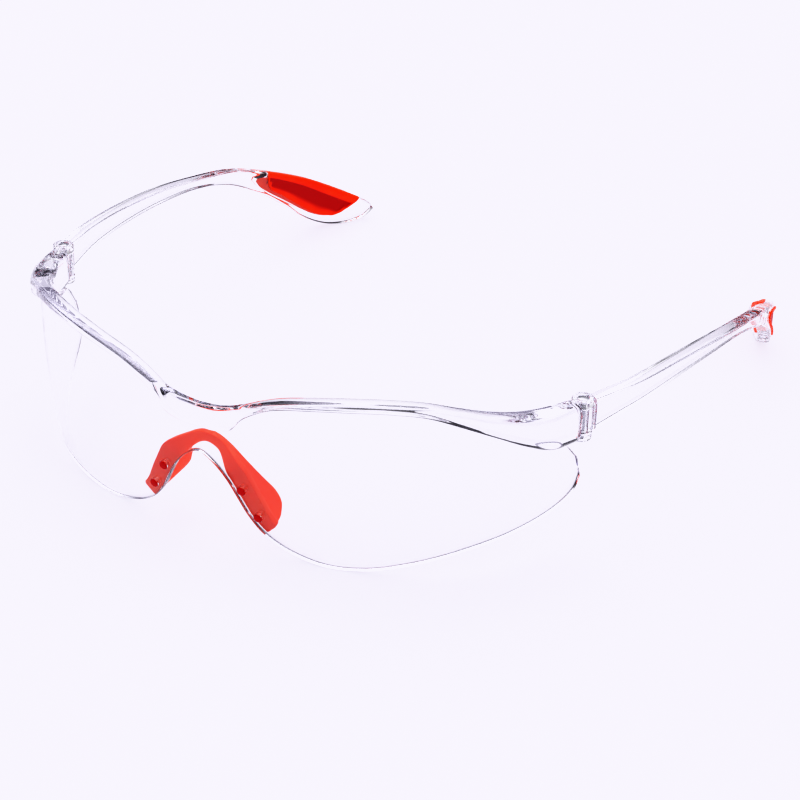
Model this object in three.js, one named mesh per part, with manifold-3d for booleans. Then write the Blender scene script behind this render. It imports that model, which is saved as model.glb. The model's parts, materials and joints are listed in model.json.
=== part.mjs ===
// Safety glasses: a clear one-piece shield with a moulded brow and hinge lugs, a soft nose piece,
// two clear side arms with a soft pad let into each ear tip, and a steel pin in each hinge.
//
// Units are millimetres. +X is to the right as seen from the front, +Y runs back along the arms
// and +Z is up. The origin lies under the middle of the object, on the surface it stands on.

import * as THREE from 'three';
import { mergeVertices } from 'three/addons/utils/BufferGeometryUtils.js';
import Module from 'manifold-3d';

const wasm = await Module();
wasm.setup();

// ---------------------------------------------------------------- driving dimensions

// Shield: the front face is a surface y = wrap(x) + lean(z).
const SHIELD_THICKNESS = 2.0;
const WRAP_X = 65; // half width at which the wrap terms below are measured
const WRAP_TERMS = [11.0, 9.1, 16.6]; // depth of the wrap: square, fourth and sixth power
const LEAN = -0.087; // the upper part stands this much further forward, per mm of height
const BULGE = 0.003; // vertical curvature
const MID_HEIGHT = 25;

// Hinges: two lugs on the shield with the arm's tongue between them.
const HINGE_X = 68.1;
const HINGE_Y = 43.1;
const LUG_RADIUS = 2.4;
const LUG_BOTTOM = 26.9;
const LUG_TOP = 36.6;
const TONGUE_BOTTOM = 28.8;
const TONGUE_TOP = 34.6;
const TONGUE_INNER = 67.8; // x of the tongue's faces
const TONGUE_OUTER = 70.2;
const EYE_RADIUS = 2.3;
const ARM_SETBACK = 2.9; // the arm's shoulder stays outside this radius
const SWING_FRONT = 42.1; // y that the folding arm never comes in front of
const GAP = 0.3; // between pieces that meet

// Hinge pins.
const PIN_RADIUS = 0.8;
const PIN_CLEARANCE = 0.08;
const PIN_HEAD_RADIUS = 1.35;
const PIN_HEAD_HEIGHT = 0.7;
const PIN_RECESS = 0.15;

// Nose piece: a flange behind the shield along the nose cut-out, and a wing running back from it.
const FLANGE_THICKNESS = 1.3;
const WING_THICKNESS = 1.6;
const STRAP_LIFT = 2.5; // how far the strap between the wings stands off the shield
const STRAP_INSET = 0.2; // and how far its lower edge keeps from the cut-out
const STRAP_HALF = 0.05; // half the strap's share of the nose piece's length
const STRAP_BLEND = 0.11;
const PEG_RADIUS = 1.0;
const PEG_OFFSET = 2.1; // from the edge of the cut-out
const PEG_PLACES = [0.72, 0.855]; // along the cut-out, as a share of its run from side to side
const PEG_PROUD = 0.25;

// Arms.
const ARM_BOX = 5.5; // squareness of the arm's cross-section: 2 is an ellipse
const PAD_PROUD = 0.12; // along the arm's top
const PAD_FACE_PROUD = 0.4; // from the inner and outer faces
const FOOT_TRIM = 0.12; // how much is taken off the lowest points to make flat feet

// ---------------------------------------------------------------- outlines

// Shield edges from the middle plane outwards: lower edge x, z and upper edge x, z.
const SHIELD_STATIONS = [
  [0, 22.4, 0, 31],
  [3.4, 20.6, 5, 31.5],
  [6.5, 17.2, 9.5, 34],
  [9, 12.8, 13.5, 36.6],
  [11.2, 8.8, 18, 38.6],
  [14.5, 4.9, 23, 40],
  [20, 1.7, 28, 41],
  [28, -FOOT_TRIM, 34, 41.8],
  [36.5, 0.6, 40, 42.2],
  [45, 2.8, 46, 41.8],
  [54, 5.5, 52, 40],
  [60.5, 7.4, 57.5, 36.2],
  [64.8, 9.7, 62, 31.3],
  [67.1, 12.7, 65.6, 28],
  [67.9, 16.4, 67.6, 21.5],
];

// Brow bar and end piece from the middle plane outwards: x, bottom, top, front face, back face.
// The faces are measured back from the shield's front face, so a negative one stands proud.
const BROW_STATIONS = [
  [0, 28.6, 34.4, -0.3, 2.1],
  [5, 28.8, 34.9, -0.3, 2.1],
  [8.5, 30.2, 35.8, -0.4, 2.2],
  [11, 33.3, 36.7, -0.6, 2.7],
  [14, 35.5, 37.9, -0.6, 3.1],
  [19, 37.9, 39.8, -0.6, 3.2],
  [26, 39.4, 41.5, -0.6, 3.2],
  [35, 40.6, 42.9, -0.6, 3.2],
  [43, 41, 43.3, -0.7, 3.1],
  [49, 40, 42.6, -0.9, 3.0],
  [54, 37.1, 40.8, -1.3, 2.8],
  [58, 34, 39, -2.6, 2.6],
  [61.5, 30.4, 37.6, -3.7, 2.3],
  [64, 27.9, 37, -4.0, 2.0],
  [67, 27.2, 36.4, -3.0, 1.8],
];

// Nose cut-out, from its top outwards and down: x, z and how far back the wing reaches.
const NOSE_STATIONS = [
  [0, 22.4, 7.2],
  [3.4, 20.6, 7.4],
  [6.5, 17.2, 8.0],
  [9, 12.8, 9.4],
  [11.2, 8.8, 10.6],
  [13.2, 6.2, 9.8],
  [14.6, 4.8, 7.0],
];

// Nose piece: distance from its middle as a share of its length, and how far its flange or strap
// reaches from the cut-out.
const FLANGE_WIDTHS = [
  [0, 2.8],
  [0.083, 3.4],
  [0.125, 4.3],
  [0.16, 4.9],
  [0.2, 4.8],
  [0.3, 4.6],
  [0.42, 4.0],
  [0.5, 3.8],
];

// Arm side view: lower edge y, z and upper edge y, z, with y measured back from the hinge.
const ARM_STATIONS = [
  [1.5, 28.6, 1.5, 36],
  [8, 29, 8, 35.6],
  [16, 29.3, 16, 35],
  [32, 29.1, 32, 33.7],
  [48, 28.1, 48, 31.8],
  [64, 26.2, 64, 29],
  [78, 22.3, 80, 25.8],
  [89, 16.6, 93, 21.4],
  [98, 10.4, 104.5, 16.6],
  [105.5, 4.4, 113, 12],
  [112, 0.9, 120, 7.6],
  [118, -FOOT_TRIM, 123.8, 4.8],
  [122.6, 0.9, 124.8, 2.8],
];

// Arm plan view: y back from the hinge, x of the middle of the arm, thickness.
const ARM_PLAN = [
  [0, 68.6, 3.9],
  [8, 70.6, 3.8],
  [16, 72.4, 3.7],
  [32, 74.3, 3.6],
  [48, 75.4, 3.6],
  [64, 75.6, 3.6],
  [80, 74.9, 3.6],
  [96, 71.6, 3.7],
  [112, 65.8, 3.5],
  [124.8, 58, 2.6],
];

// Ear pad: share of the arm's side view along its length, and the pad's lower edge across it,
// from -1 at the arm's lower edge to 1 at its upper edge.
const PAD_EDGE = [
  [0.58, 0.75],
  [0.595, -0.1],
  [0.64, -0.45],
  [0.73, -0.55],
  [0.8, -0.45],
  [0.838, 0],
  [0.85, 0.75],
];
// Its outer face: share of the arm's length, lower edge and upper edge.
const PAD_WINDOW = [
  [0.56, -0.05, 0.25],
  [0.575, -0.4, 0.48],
  [0.6, -0.6, 0.6],
  [0.64, -0.68, 0.68],
  [0.73, -0.66, 0.68],
  [0.8, -0.5, 0.62],
  [0.835, -0.2, 0.5],
  [0.845, 0.15, 0.35],
];
const PAD_DEPTH = -0.3; // how far it is let in, where -1 is the arm's inner face and 1 its outer
const PAD_OVERLAP = 0.4; // how far the part in the outer face runs into the part in the inner one

// ---------------------------------------------------------------- colours

const CLEAR = { color: 0xf2f1fb, roughness: 0.05, metalness: 0, transparent: true, opacity: 0.35 };
const RED_RUBBER = { color: 0xf5401f, roughness: 0.55, metalness: 0 };
const STEEL = { color: 0x9a9aa2, roughness: 0.3, metalness: 1 };

// ---------------------------------------------------------------- helpers

const column = (rows, i) => rows.map((row) => row[i]);

// A smooth function through the values in column `i` at the places in the first column.
function valueAt(rows, i) {
  const curve = new THREE.CubicInterpolant(column(rows, 0), column(rows, i), 1);
  return (at) => curve.evaluate(at)[0];
}

// A smooth curve through the points in columns `i` and `j`.
const curveOf = (rows, i, j) => new THREE.SplineCurve(rows.map((row) => new THREE.Vector2(row[i], row[j])));

// Stations for both sides of the middle plane, from those of the right side.
function bothSides(rows, sideways) {
  const flip = (row) => row.map((value, i) => (sideways.includes(i) ? -value : value));
  return [...rows.slice(1).reverse().map(flip), ...rows];
}

function weld(geometry) {
  geometry.deleteAttribute('normal');
  geometry.deleteAttribute('uv');
  return mergeVertices(geometry, 1e-5);
}

// Swaps two corners of every triangle, so that each faces the other way.
function turnInsideOut(geometry) {
  const index = geometry.getIndex();
  for (let i = 0; i < index.count; i += 3) {
    const second = index.getX(i + 1);
    index.setX(i + 1, index.getX(i + 2));
    index.setX(i + 2, second);
  }
  return geometry;
}

function volumeOf(geometry) {
  const place = geometry.getAttribute('position');
  const index = geometry.getIndex();
  const corner = [new THREE.Vector3(), new THREE.Vector3(), new THREE.Vector3()];
  let volume = 0;
  for (let i = 0; i < index.count; i += 3) {
    corner.forEach((c, k) => c.fromBufferAttribute(place, index.getX(i + k)));
    volume += corner[0].dot(corner[1].cross(corner[2])) / 6;
  }
  return volume;
}

// Moves every corner of a simple body to where `place` puts it.
function shaped(geometry, place) {
  const body = weld(geometry);
  const position = body.getAttribute('position');
  for (let i = 0; i < position.count; i += 1) {
    const p = place(new THREE.Vector3().fromBufferAttribute(position, i));
    position.setXYZ(i, p.x, p.y, p.z);
  }
  return volumeOf(body) < 0 ? turnInsideOut(body) : body;
}

function solid(geometry) {
  const body = geometry.getAttribute('normal') ? weld(geometry) : geometry;
  const vertProperties = new Float32Array(body.getAttribute('position').array);
  const triVerts = new Uint32Array(body.getIndex().array);
  return new wasm.Manifold(new wasm.Mesh({ numProp: 3, vertProperties, triVerts }));
}

function geometryOf(manifold) {
  const mesh = manifold.getMesh();
  const geometry = new THREE.BufferGeometry();
  geometry.setAttribute('position', new THREE.BufferAttribute(mesh.vertProperties, 3));
  geometry.setIndex(new THREE.BufferAttribute(mesh.triVerts, 1));
  return geometry;
}

// The same piece on the other side of the middle plane.
function mirrored(geometry) {
  const copy = geometry.clone();
  copy.scale(-1, 1, 1);
  return turnInsideOut(copy);
}

function upright(radius, bottom, top, x = HINGE_X, y = HINGE_Y, sides = 28) {
  const geometry = new THREE.CylinderGeometry(radius, radius, top - bottom, sides);
  geometry.rotateX(Math.PI / 2);
  return solid(geometry.translate(x, y, (bottom + top) / 2));
}

function block(x0, x1, y0, y1, z0, z1) {
  const geometry = new THREE.BoxGeometry(x1 - x0, y1 - y0, z1 - z0);
  return solid(geometry.translate((x0 + x1) / 2, (y0 + y1) / 2, (z0 + z1) / 2));
}

const BELOW_GROUND = block(-100, 100, -50, 200, -5, 0);

const onBothSides = (right) => right.add(solid(mirrored(geometryOf(right))));

// Rounds a unit circle towards a square; `box` is 2 for a circle.
const squarer = (value, box) => Math.sign(value) * Math.abs(value) ** (2 / box);

function named(name, geometry, finish) {
  geometry.computeVertexNormals();
  const mesh = new THREE.Mesh(geometry, new THREE.MeshStandardMaterial(finish));
  mesh.name = name;
  return mesh;
}

// ---------------------------------------------------------------- shield

// The point `depth` behind the shield's front face, square to it.
function onShield(x, z, depth) {
  const [a, b, c] = WRAP_TERMS;
  const q = (x / WRAP_X) ** 2;
  const rise = z - MID_HEIGHT;
  const y = q * (a + q * (b + q * c)) + rise * (LEAN + rise * BULGE);
  const slopeX = ((2 * x) / WRAP_X ** 2) * (a + q * (2 * b + q * 3 * c));
  const slopeZ = LEAN + 2 * BULGE * rise;
  const inward = new THREE.Vector3(-slopeX, 1, -slopeZ).normalize();
  return new THREE.Vector3(x, y, z).addScaledVector(inward, depth);
}

function lensPlate() {
  const stations = bothSides(SHIELD_STATIONS, [0, 2]);
  const lower = curveOf(stations, 0, 1);
  const upper = curveOf(stations, 2, 3);
  return shaped(new THREE.BoxGeometry(1, 1, 1, 60, 4, 1), (v) => {
    const point = lower.getPoint(v.x + 0.5).lerp(upper.getPoint(v.x + 0.5), v.y + 0.5);
    return onShield(point.x, point.y, (0.5 - v.z) * SHIELD_THICKNESS);
  });
}

function browBar() {
  const bottom = valueAt(BROW_STATIONS, 1);
  const top = valueAt(BROW_STATIONS, 2);
  const front = valueAt(BROW_STATIONS, 3);
  const back = valueAt(BROW_STATIONS, 4);
  const reach = BROW_STATIONS.at(-1)[0];
  return shaped(new THREE.CylinderGeometry(1, 1, 1, 12, 48), (v) => {
    const x = 2 * v.y * reach;
    const side = Math.abs(x);
    const up = (1 + squarer(v.x, 3.4)) / 2;
    const through = (1 + squarer(v.z, 3.4)) / 2;
    const z = THREE.MathUtils.lerp(bottom(side), top(side), up);
    return onShield(x, z, THREE.MathUtils.lerp(front(side), back(side), through));
  });
}

function pegHole(place, radius, from, to) {
  const middle = noseCourse(place, PEG_OFFSET);
  const start = onShield(middle.x, middle.z, from);
  const end = onShield(middle.x, middle.z, to);
  const geometry = new THREE.CylinderGeometry(radius, radius, start.distanceTo(end), 12);
  const turn = new THREE.Quaternion();
  turn.setFromUnitVectors(new THREE.Vector3(0, 1, 0), end.clone().sub(start).normalize());
  geometry.applyQuaternion(turn);
  const centre = start.add(end).multiplyScalar(0.5);
  return solid(geometry.translate(centre.x, centre.y, centre.z));
}

// Room for the arm to fold inwards, between two heights.
const swingRoom = (bottom, top) => block(HINGE_X - 8, HINGE_X - 1, SWING_FRONT, HINGE_Y + 8, bottom, top);

function lensShield() {
  const lugs = onBothSides(upright(LUG_RADIUS, LUG_BOTTOM, LUG_TOP));
  const room = onBothSides(swingRoom(LUG_BOTTOM - 2, LUG_TOP + 2));
  const slotBottom = TONGUE_BOTTOM - GAP;
  const slotTop = TONGUE_TOP + GAP;
  const slot = upright(EYE_RADIUS + GAP, slotBottom, slotTop).add(swingRoom(slotBottom, slotTop));
  const pinHole = upright(PIN_RADIUS + PIN_CLEARANCE, LUG_BOTTOM - 1, LUG_TOP + 1);
  const recess = upright(PIN_HEAD_RADIUS + PIN_CLEARANCE, LUG_TOP - PIN_RECESS - PIN_HEAD_HEIGHT, LUG_TOP + 1);
  let shield = solid(lensPlate()).add(solid(browBar())).subtract(room).add(lugs);
  shield = shield.subtract(onBothSides(slot.add(pinHole).add(recess)));
  for (const place of PEG_PLACES) {
    shield = shield.subtract(onBothSides(pegHole(place, PEG_RADIUS + GAP, -2, SHIELD_THICKNESS + 2)));
  }
  return geometryOf(shield.subtract(BELOW_GROUND));
}

// ---------------------------------------------------------------- nose piece

const noseEdge = curveOf(bothSides(NOSE_STATIONS, [0]), 0, 1);

// A place along the nose cut-out, from 0 on the left to 1 on the right, moved `offset` away from
// the opening.
function noseCourse(share, offset) {
  const point = noseEdge.getPoint(share);
  const along = noseEdge.getTangent(share);
  return { x: point.x - along.y * offset, z: point.y + along.x * offset };
}

// How much of the strap there is at a place along the nose piece: 1 between the wings, 0 on them.
function strapAt(share) {
  return 1 - THREE.MathUtils.smoothstep(Math.abs(share - 0.5), STRAP_HALF, STRAP_HALF + STRAP_BLEND);
}

function noseStrip(widthAt, depthAt) {
  return shaped(new THREE.BoxGeometry(1, 1, 1, 60, 1, 1), (v) => {
    const share = v.x + 0.5;
    const strap = strapAt(share);
    const from = 0.2 + STRAP_INSET * strap;
    const { x, z } = noseCourse(share, THREE.MathUtils.lerp(from, widthAt(share, from), v.y + 0.5));
    const back = SHIELD_THICKNESS + GAP + STRAP_LIFT * strap;
    return onShield(x, z, THREE.MathUtils.lerp(back, depthAt(share), v.z + 0.5));
  });
}

function nosePiece() {
  const reach = new THREE.SplineCurve(
    bothSides(NOSE_STATIONS, [0]).map((row) => new THREE.Vector2(row[0], row[2])),
  );
  const flangeBack = SHIELD_THICKNESS + GAP + FLANGE_THICKNESS;
  const flangeWidth = valueAt(FLANGE_WIDTHS, 1);
  const flange = noseStrip(
    (share) => flangeWidth(Math.abs(share - 0.5)),
    (share) => flangeBack + STRAP_LIFT * strapAt(share),
  );
  const wing = noseStrip(
    (share, inner) => inner + WING_THICKNESS,
    (share) => reach.getPoint(share).y,
  );
  let piece = solid(flange).add(solid(wing));
  for (const place of PEG_PLACES) {
    piece = piece.add(onBothSides(pegHole(place, PEG_RADIUS, -PEG_PROUD, SHIELD_THICKNESS + 1)));
  }
  return geometryOf(piece);
}

// ---------------------------------------------------------------- arms and their pads

const armMiddle = valueAt(ARM_PLAN, 1);
const armThickness = valueAt(ARM_PLAN, 2);
const armLower = curveOf(ARM_STATIONS, 0, 1);
const armUpper = curveOf(ARM_STATIONS, 2, 3);

// A point of the right arm: `share` of its length, `up` from -1 at its lower edge to 1 at its
// upper edge, `out` from -1 on its inner face to 1 on its outer face, and `proud` of both.
function onArm(share, up, out, proud = 0, faceProud = 0) {
  const low = armLower.getPoint(share);
  const high = armUpper.getPoint(share);
  const side = low.clone().lerp(high, (up + 1) / 2);
  side.addScaledVector(high.clone().sub(low).normalize(), proud * up);
  const slope = armMiddle(side.x + 0.5) - armMiddle(side.x - 0.5);
  const square = new THREE.Vector2(1, -slope).normalize();
  const away = (out * armThickness(side.x)) / 2 + faceProud * out;
  return new THREE.Vector3(armMiddle(side.x) + square.x * away, HINGE_Y + side.x + square.y * away, side.y);
}

function armBody(proud = 0, faceProud = 0) {
  return solid(
    shaped(new THREE.CylinderGeometry(1, 1, 1, 12, 36), (v) =>
      onArm(v.y + 0.5, squarer(v.x, ARM_BOX), squarer(v.z, ARM_BOX), proud, faceProud),
    ),
  );
}

// One millimetre, as a share of the arm's length, of its half height and of its half thickness.
const ONE_MM = { along: 1 / 125, up: 1 / 4, out: 1 / 1.8 };

// The space of the pad, `margin` larger all round: a block let into the arm's inner face and one
// let into its outer face.
function padSpace(margin) {
  const piece = (rows, lower, upper, inner, outer) => {
    const start = rows[0][0] - margin * ONE_MM.along;
    const end = rows.at(-1)[0] + margin * ONE_MM.along;
    const place = shaped(new THREE.BoxGeometry(1, 1, 1, 20, 1, 1), (v) => {
      const share = THREE.MathUtils.lerp(start, end, v.x + 0.5);
      const low = lower(share) - margin * ONE_MM.up;
      const up = THREE.MathUtils.lerp(low, upper(share) + margin * ONE_MM.up, v.y + 0.5);
      return onArm(share, up, THREE.MathUtils.lerp(inner, outer, v.z + 0.5));
    });
    return solid(place);
  };
  const deeper = margin * ONE_MM.out;
  const within = PAD_DEPTH - deeper - PAD_OVERLAP;
  return piece(PAD_EDGE, valueAt(PAD_EDGE, 1), () => 1.6, -2, PAD_DEPTH + deeper).add(
    piece(PAD_WINDOW, valueAt(PAD_WINDOW, 1), valueAt(PAD_WINDOW, 2), within, 2),
  );
}

function arm() {
  const root = HINGE_Y + ARM_SETBACK + 0.8;
  const tongue = block(TONGUE_INNER, TONGUE_OUTER, HINGE_Y, root, TONGUE_BOTTOM, TONGUE_TOP);
  const eye = upright(EYE_RADIUS, TONGUE_BOTTOM, TONGUE_TOP);
  const shoulder = upright(ARM_SETBACK, LUG_BOTTOM - 2, LUG_TOP + 2);
  return geometryOf(
    armBody()
      .subtract(shoulder)
      .add(tongue)
      .add(eye)
      .subtract(upright(PIN_RADIUS + PIN_CLEARANCE, LUG_BOTTOM, LUG_TOP))
      .subtract(padSpace(GAP))
      .subtract(BELOW_GROUND),
  );
}

const tipPad = () => geometryOf(armBody(PAD_PROUD, PAD_FACE_PROUD).intersect(padSpace(0)));

// ---------------------------------------------------------------- hinge pins

function hingePin() {
  const top = LUG_TOP - PIN_RECESS;
  const under = top - PIN_HEAD_HEIGHT + 0.1;
  const profile = [
    [0, LUG_BOTTOM + 0.2],
    [PIN_RADIUS, LUG_BOTTOM + 0.2],
    [PIN_RADIUS, under],
    [PIN_HEAD_RADIUS, under],
    [PIN_HEAD_RADIUS, top - 0.2],
    [PIN_HEAD_RADIUS - 0.2, top],
    [0, top],
  ];
  const geometry = new THREE.LatheGeometry(profile.map(([r, z]) => new THREE.Vector2(r, z)), 16);
  geometry.rotateX(Math.PI / 2);
  geometry.translate(HINGE_X, HINGE_Y, 0);
  const body = weld(geometry);
  return volumeOf(body) < 0 ? turnInsideOut(body) : body;
}

// ---------------------------------------------------------------- assembly

const group = new THREE.Group();
group.add(named('lens_shield', lensShield(), CLEAR));
group.add(named('nose_piece', nosePiece(), RED_RUBBER));

const pair = [
  ['temple', arm(), CLEAR],
  ['tip_pad', tipPad(), RED_RUBBER],
  ['hinge_pin', hingePin(), STEEL],
];
for (const [name, geometry, finish] of pair) {
  group.add(named(`${name}_right`, geometry, finish));
  group.add(named(`${name}_left`, mirrored(geometry), finish));
}

// The model above has the front of the shield near y = 0: move it so that its middle is there.
const extent = new THREE.Box3().setFromObject(group);
group.position.set(0, -(extent.min.y + extent.max.y) / 2, -extent.min.z);

export default group;
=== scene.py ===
import math

import bmesh
import bpy
import numpy as np
from mathutils import Matrix, Vector
from mathutils.kdtree import KDTree
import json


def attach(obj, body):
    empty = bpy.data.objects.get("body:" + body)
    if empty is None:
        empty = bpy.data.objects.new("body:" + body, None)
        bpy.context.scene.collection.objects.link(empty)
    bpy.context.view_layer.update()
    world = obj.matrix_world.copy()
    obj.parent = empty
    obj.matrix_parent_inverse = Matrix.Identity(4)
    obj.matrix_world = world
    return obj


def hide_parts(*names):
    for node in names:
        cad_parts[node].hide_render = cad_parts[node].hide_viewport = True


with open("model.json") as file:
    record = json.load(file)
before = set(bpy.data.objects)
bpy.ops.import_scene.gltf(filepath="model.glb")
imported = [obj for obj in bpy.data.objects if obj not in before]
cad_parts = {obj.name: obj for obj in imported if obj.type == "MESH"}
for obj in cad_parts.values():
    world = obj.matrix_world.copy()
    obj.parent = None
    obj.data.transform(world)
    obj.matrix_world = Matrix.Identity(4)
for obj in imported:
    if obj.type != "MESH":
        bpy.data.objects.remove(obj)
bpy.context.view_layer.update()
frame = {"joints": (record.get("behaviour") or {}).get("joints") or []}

# Lengths below are in millimetres in the design's own frame, where the front of the shield is near
# y = 0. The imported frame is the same, moved along Y and scaled to metres.
MM = 0.001
HINGE = {joint["name"]: Vector(joint["pos_m"]) for joint in frame["joints"]}
HINGE_X = 68.1
HINGE_Y = 43.1
SHIFT = Vector((0, HINGE["hinge_right"].y - HINGE_Y * MM, 0))

# ---------------------------------------------------------------- design, as in the CAD part

# Shield: the front face is a surface y = wrap(x) + lean(z).
SHIELD_THICKNESS = 2.0
WRAP_X = 65  # half width at which the wrap terms below are measured
WRAP_TERMS = (11.0, 9.1, 16.6)  # depth of the wrap: square, fourth and sixth power
LEAN = -0.087  # the upper part stands this much further forward, per mm of height
BULGE = 0.003  # vertical curvature
MID_HEIGHT = 25
EDGE_ROUNDING = 0.4
EDGE_SHADE_FULL = 0.9  # the painted shade, a dark line along the edge, reaches this far from the middle of the edge
EDGE_SHADE_FADE = 0.2

# Hinges: two lugs on the shield with the arm's tongue between them.
LUG_RADIUS = 2.4
LUG_BOTTOM = 26.9
LUG_TOP = 36.6
TONGUE_BOTTOM = 28.8
TONGUE_TOP = 34.6
TONGUE_INNER = 67.8
TONGUE_OUTER = 70.2
EYE_RADIUS = 2.3
LUG_ROUNDING = 0.35
EYE_ROUNDING = 0.2
ARM_SETBACK = 2.9  # the arm's shoulder stays outside this radius
SWING_FRONT = 42.1  # the box that the folding arm needs
SWING_INNER = HINGE_X - 8
SWING_OUTER = HINGE_X - 1
SWING_BACK = HINGE_Y + 8
GAP = 0.25  # round the tongue, a little less than in the CAD part

# Hinge pins.
PIN_RADIUS = 0.8
PIN_CLEARANCE = 0.08
PIN_HEAD_RADIUS = 1.35
PIN_HEAD_HEIGHT = 0.7
PIN_RECESS = 0.15
PIN_CHAMFER = 0.2
PIN_DOME = 0.3

# Nose piece: a flange behind the shield along the nose cut-out, and a wing running back from it.
SNUG = 0.06  # room round the pegs and in front of the flange
FLANGE_DEPTH = 0.24 + 1.3  # the rest of the CAD part's room, and the flange's own thickness
FLANGE_INSET = 0.2
WING_THICKNESS = 1.6
NOSE_END = 0.65  # how much of the section is left at the rounded ends
STRAP_LIFT = 2.5  # how far the strap between the wings stands off the shield
STRAP_INSET = 0.2  # and how far its lower edge keeps from the cut-out
STRAP_HALF = 0.05  # half the strap's share of the nose piece's length
STRAP_BLEND = 0.11
PEG_RADIUS = 1.0
PEG_OFFSET = 2.1  # from the edge of the cut-out
PEG_PLACES = (0.72, 0.855)  # along the cut-out, as a share of its run from side to side
PEG_PROUD = 0.25
PEG_ROUNDING = 0.3
PEG_SHADE_FULL = 1.1  # the painted shade, a deeper red, reaches this far from the middle of a peg's end
PEG_SHADE_FADE = 0.3

# Arms and brow.
BROW_BOX = 3.4  # squareness of the cross-section: 2 is an ellipse
ARM_BOX = 5.5
ARM_END = 0.3  # how much of the section is left at the arm's rounded tip
PAD_PROUD = 0.12  # along the arm's top
PAD_FACE_PROUD = 0.4  # from its inner and outer faces
FOOT_TRIM = 0.12  # how far the lowest points reach below the flat feet of the CAD part

# Shield edges: lower edge x, z and upper edge x, z.
SHIELD_STATIONS = (
    (0, 22.4, 0, 31),
    (3.4, 20.6, 5, 31.5),
    (6.5, 17.2, 9.5, 34),
    (9, 12.8, 13.5, 36.6),
    (11.2, 8.8, 18, 38.6),
    (14.5, 4.9, 23, 40),
    (20, 1.7, 28, 41),
    (28, -FOOT_TRIM, 34, 41.8),
    (36.5, 0.6, 40, 42.2),
    (45, 2.8, 46, 41.8),
    (54, 5.5, 52, 40),
    (60.5, 7.4, 57.5, 36.2),
    (64.8, 9.7, 62, 31.3),
    (67.1, 12.7, 65.6, 28),
    (67.9, 16.4, 67.6, 21.5),
)

# Brow bar and end piece: x, bottom, top, front face, back face.
BROW_STATIONS = (
    (0, 28.6, 34.4, -0.3, 2.1),
    (5, 28.8, 34.9, -0.3, 2.1),
    (8.5, 30.2, 35.8, -0.4, 2.2),
    (11, 33.3, 36.7, -0.6, 2.7),
    (14, 35.5, 37.9, -0.6, 3.1),
    (19, 37.9, 39.8, -0.6, 3.2),
    (26, 39.4, 41.5, -0.6, 3.2),
    (35, 40.6, 42.9, -0.6, 3.2),
    (43, 41, 43.3, -0.7, 3.1),
    (49, 40, 42.6, -0.9, 3.0),
    (54, 37.1, 40.8, -1.3, 2.8),
    (58, 34, 39, -2.6, 2.6),
    (61.5, 30.4, 37.6, -3.7, 2.3),
    (64, 27.9, 37, -4.0, 2.0),
    (67, 27.2, 36.4, -3.0, 1.8),
)

# Nose cut-out: x, z and how far back the wing reaches.
NOSE_STATIONS = (
    (0, 22.4, 7.2),
    (3.4, 20.6, 7.4),
    (6.5, 17.2, 8.0),
    (9, 12.8, 9.4),
    (11.2, 8.8, 10.6),
    (13.2, 6.2, 9.8),
    (14.6, 4.8, 7.0),
)

# Nose piece: distance from its middle as a share of its length, and how far its flange or strap
# reaches from the cut-out.
FLANGE_WIDTHS = (
    (0, 2.8),
    (0.083, 3.4),
    (0.125, 4.3),
    (0.16, 4.9),
    (0.2, 4.8),
    (0.3, 4.6),
    (0.42, 4.0),
    (0.5, 3.8),
)

# Arm side view: lower edge y, z and upper edge y, z, with y measured back from the hinge.
ARM_STATIONS = (
    (1.5, 28.6, 1.5, 36),
    (8, 29, 8, 35.6),
    (16, 29.3, 16, 35),
    (32, 29.1, 32, 33.7),
    (48, 28.1, 48, 31.8),
    (64, 26.2, 64, 29),
    (78, 22.3, 80, 25.8),
    (89, 16.6, 93, 21.4),
    (98, 10.4, 104.5, 16.6),
    (105.5, 4.4, 113, 12),
    (112, 0.9, 120, 7.6),
    (118, -FOOT_TRIM, 123.8, 4.8),
    (122.6, 0.9, 124.8, 2.8),
)

# Arm plan view: y back from the hinge, x of the middle, thickness.
ARM_PLAN = (
    (0, 68.6, 3.9),
    (8, 70.6, 3.8),
    (16, 72.4, 3.7),
    (32, 74.3, 3.6),
    (48, 75.4, 3.6),
    (64, 75.6, 3.6),
    (80, 74.9, 3.6),
    (96, 71.6, 3.7),
    (112, 65.8, 3.5),
    (124.8, 58, 2.6),
)

# Ear pad: share of the arm's length and the pad's lower edge across it, from -1 to 1.
PAD_EDGE = (
    (0.58, 0.75),
    (0.595, -0.1),
    (0.64, -0.45),
    (0.73, -0.55),
    (0.8, -0.45),
    (0.838, 0),
    (0.85, 0.75),
)
# Its outer face: share of the arm's length, lower edge and upper edge.
PAD_WINDOW = (
    (0.56, -0.05, 0.25),
    (0.575, -0.4, 0.48),
    (0.6, -0.6, 0.6),
    (0.64, -0.68, 0.68),
    (0.73, -0.66, 0.68),
    (0.8, -0.5, 0.62),
    (0.835, -0.2, 0.5),
    (0.845, 0.15, 0.35),
)
PAD_DEPTH = -0.3  # how far it is let in, where -1 is the arm's inner face and 1 its outer
PAD_OVERLAP = 0.4
PAD_ROOM = 0.05
PAD_SPAN = (0.48, 0.88)  # shares of the arm's length that its skin is made for
PAD_BEYOND = 2  # its room ends this far outside the arm's faces
PAD_ABOVE = 1.6  # and this far above its middle
PAD_DISH = 0.55  # depth of the hollow in each face
PAD_DISH_TOP = 0.8
PAD_RIM = 0.6
PAD_RIM_START = 0.25

# The arm near its pad: millimetres in its length, its half height and its half thickness.
ARM_LENGTH = 125
ARM_HALF_HEIGHT = 4
ARM_HALF_THICKNESS = 1.8


# ---------------------------------------------------------------- curves


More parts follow.
